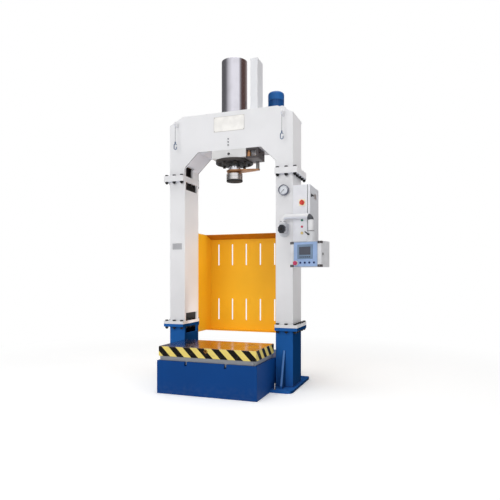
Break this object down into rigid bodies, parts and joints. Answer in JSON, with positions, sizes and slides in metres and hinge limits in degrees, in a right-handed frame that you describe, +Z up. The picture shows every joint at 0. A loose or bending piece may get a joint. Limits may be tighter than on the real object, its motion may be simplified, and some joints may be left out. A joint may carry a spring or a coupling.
{
  "type": "hydraulic press",
  "caption": "Floor-standing hydraulic press with a box-section frame, an overhead ram with a guide rod, a sliding table, a swing-arm control console, a switch cabinet and a rear guard.",
  "frame": {"origin": "floor level under the ram's axis", "axes": "+X to the operator's right, +Y away from the operator, +Z up"},
  "size_m": [1.7621, 1.324, 3.35],
  "materials": {
    "blue_paint": "semi-gloss",
    "yellow_paint": "semi-gloss with black hazard stripes, ground steel on top",
    "grey_steel": "satin",
    "orange_paint": "satin",
    "white_paint": "semi-gloss",
    "dark_paint": "satin",
    "bright_steel": "polished",
    "machined_steel": "machined",
    "black_bolts": "black oxide",
    "brass": "satin",
    "motor_blue": "satin",
    "light_grey": "fine texture",
    "pale_blue": "satin",
    "black_plastic": "fine texture",
    "red_plastic": "gloss",
    "green_plastic": "gloss",
    "blue_plastic": "gloss",
    "navy_plastic": "gloss",
    "amber_plastic": "gloss",
    "slate_plastic": "satin",
    "grey_plastic": "satin",
    "glass": "clear",
    "rope": "laid wire"
  },
  "bodies": {
    "frame": {"base_block": "blue_paint", "left_pedestal": "blue_paint", "right_pedestal": "blue_paint", "left_column": "white_paint", "right_column": "white_paint", "crosshead": "white_paint", "joint_bolts": "black_bolts", "levelling_screws": "machined_steel", "mount_block": "white_paint", "cylinder_barrel": "bright_steel", "gland_flange": "dark_paint", "gland_screws": "black_bolts", "guide_bracket": "dark_paint", "rod_oiler": "brass", "guide_housing": "white_paint", "oil_tank": "white_paint", "tank_lid": "white_paint", "pump": "machined_steel", "motor_body": "motor_blue", "fan_cowl": "motor_blue", "valve_block": "machined_steel", "oil_pipes": "machined_steel", "rear_guard": "orange_paint", "rope_lugs": "white_paint", "gauge_case": "grey_plastic", "gauge_glass": "glass", "cabinet_body": "light_grey", "switchgear": "grey_plastic", "cabinet_lamp": "amber_plastic", "arm_bracket": "white_paint", "rope_left": "rope", "rope_right": "rope", "rope_hooks": "blue_plastic"},
    "ram": {"ram_rod": "bright_steel", "ram_nose": "machined_steel", "guide_arm": "brass", "guide_rod": "bright_steel"},
    "table": {"table_plate": "yellow_paint", "table_sled": "grey_steel"},
    "swing_arm": {"swing_arm": "white_paint"},
    "console": {"console_coupling": "light_grey", "console_box": "light_grey", "console_corners": "black_plastic", "console_panel": "pale_blue", "display": "slate_plastic"},
    "emergency_stop": {"emergency_stop": "red_plastic"},
    "console_button_1": {"console_button_1": "navy_plastic"},
    "console_button_2": {"console_button_2": "navy_plastic"},
    "console_button_3": {"console_button_3": "navy_plastic"},
    "console_button_4": {"console_button_4": "navy_plastic"},
    "console_lock": {"console_lock": "machined_steel"},
    "clamp_lever": {"clamp_lever": "black_plastic"},
    "cabinet_door": {"cabinet_door": "light_grey"},
    "door_lock": {"door_lock": "black_plastic"},
    "main_switch": {"main_switch": "red_plastic"},
    "green_button": {"green_button": "green_plastic"},
    "red_button": {"red_button": "red_plastic"},
    "gauge_needle": {"gauge_needle": "black_plastic"},
    "motor_rotor": {"motor_rotor": "machined_steel"},
    "arm_knob": {"arm_knob": "black_plastic"}
  },
  "joints": [
    {"name": "ram_slide", "type": "slide", "parent": "frame", "child": "ram", "axis": [0, 0, -1], "range_m": [0, 0.7]},
    {"name": "table_slide", "type": "slide", "parent": "frame", "child": "table", "axis": [0, 1, 0], "range_m": [0, 0.452]},
    {"name": "arm_swing", "type": "hinge", "parent": "frame", "child": "swing_arm", "pos_m": [0.588, -0.22, 1.612], "axis": [0, 0, 1], "range_deg": [-100, 0]},
    {"name": "console_swivel", "type": "hinge", "parent": "swing_arm", "child": "console", "pos_m": [0.866, -0.22, 1.45], "axis": [0, 0, 1], "range_deg": [-15, 15]},
    {"name": "clamp_lever_turn", "type": "hinge", "parent": "console", "child": "clamp_lever", "pos_m": [0.85335, -0.25477, 1.5], "axis": [-0.342, -0.9397, 0], "range_deg": [0, 90]},
    {"name": "cabinet_door_hinge", "type": "hinge", "parent": "frame", "child": "cabinet_door", "pos_m": [0.834, 0.237, 1.7], "axis": [0, 0, 1], "range_deg": [0, 120]},
    {"name": "door_lock_turn", "type": "hinge", "parent": "cabinet_door", "child": "door_lock", "pos_m": [0.845, -0.1105, 1.89], "axis": [1, 0, 0], "range_deg": [0, 90]},
    {"name": "console_lock_turn", "type": "hinge", "parent": "console", "child": "console_lock", "pos_m": [0.99863, -0.31776, 1.31], "axis": [0.9659, -0.2588, 0], "range_deg": [0, 90]},
    {"name": "main_switch_turn", "type": "hinge", "parent": "frame", "child": "main_switch", "pos_m": [0.766, -0.1655, 1.816], "axis": [0, 1, 0], "range_deg": [0, 90]},
    {"name": "console_button_1_press", "type": "slide", "parent": "console", "child": "console_button_1", "axis": [0.2588, 0.9659, 0], "range_m": [0, 0.004], "stiffness_N_per_m": 700},
    {"name": "console_button_2_press", "type": "slide", "parent": "console", "child": "console_button_2", "axis": [0.2588, 0.9659, 0], "range_m": [0, 0.004], "stiffness_N_per_m": 700},
    {"name": "console_button_3_press", "type": "slide", "parent": "console", "child": "console_button_3", "axis": [0.2588, 0.9659, 0], "range_m": [0, 0.004], "stiffness_N_per_m": 700},
    {"name": "console_button_4_press", "type": "slide", "parent": "console", "child": "console_button_4", "axis": [0.2588, 0.9659, 0], "range_m": [0, 0.004], "stiffness_N_per_m": 700},
    {"name": "emergency_stop_press", "type": "slide", "parent": "console", "child": "emergency_stop", "axis": [0.2588, 0.9659, 0], "range_m": [0, 0.005]},
    {"name": "green_button_press", "type": "slide", "parent": "frame", "child": "green_button", "axis": [0, 1, 0], "range_m": [0, 0.004], "stiffness_N_per_m": 700},
    {"name": "red_button_press", "type": "slide", "parent": "frame", "child": "red_button", "axis": [0, 1, 0], "range_m": [0, 0.004], "stiffness_N_per_m": 700},
    {"name": "gauge_needle_turn", "type": "hinge", "parent": "frame", "child": "gauge_needle", "pos_m": [0.588, -0.1935, 1.944], "axis": [0, 1, 0], "range_deg": [0, 270], "stiffness_Nm_per_rad": 0.002},
    {"name": "motor_spin", "type": "hinge", "parent": "frame", "child": "motor_rotor", "pos_m": [0.365, 0.3, 2.9], "axis": [0, 0, 1], "continuous": true},
    {"name": "arm_knob_turn", "type": "hinge", "parent": "frame", "child": "arm_knob", "pos_m": [0.6, -0.269, 1.556], "axis": [-0.4226, -0.9063, 0], "range_deg": [0, 180]}
  ]
}
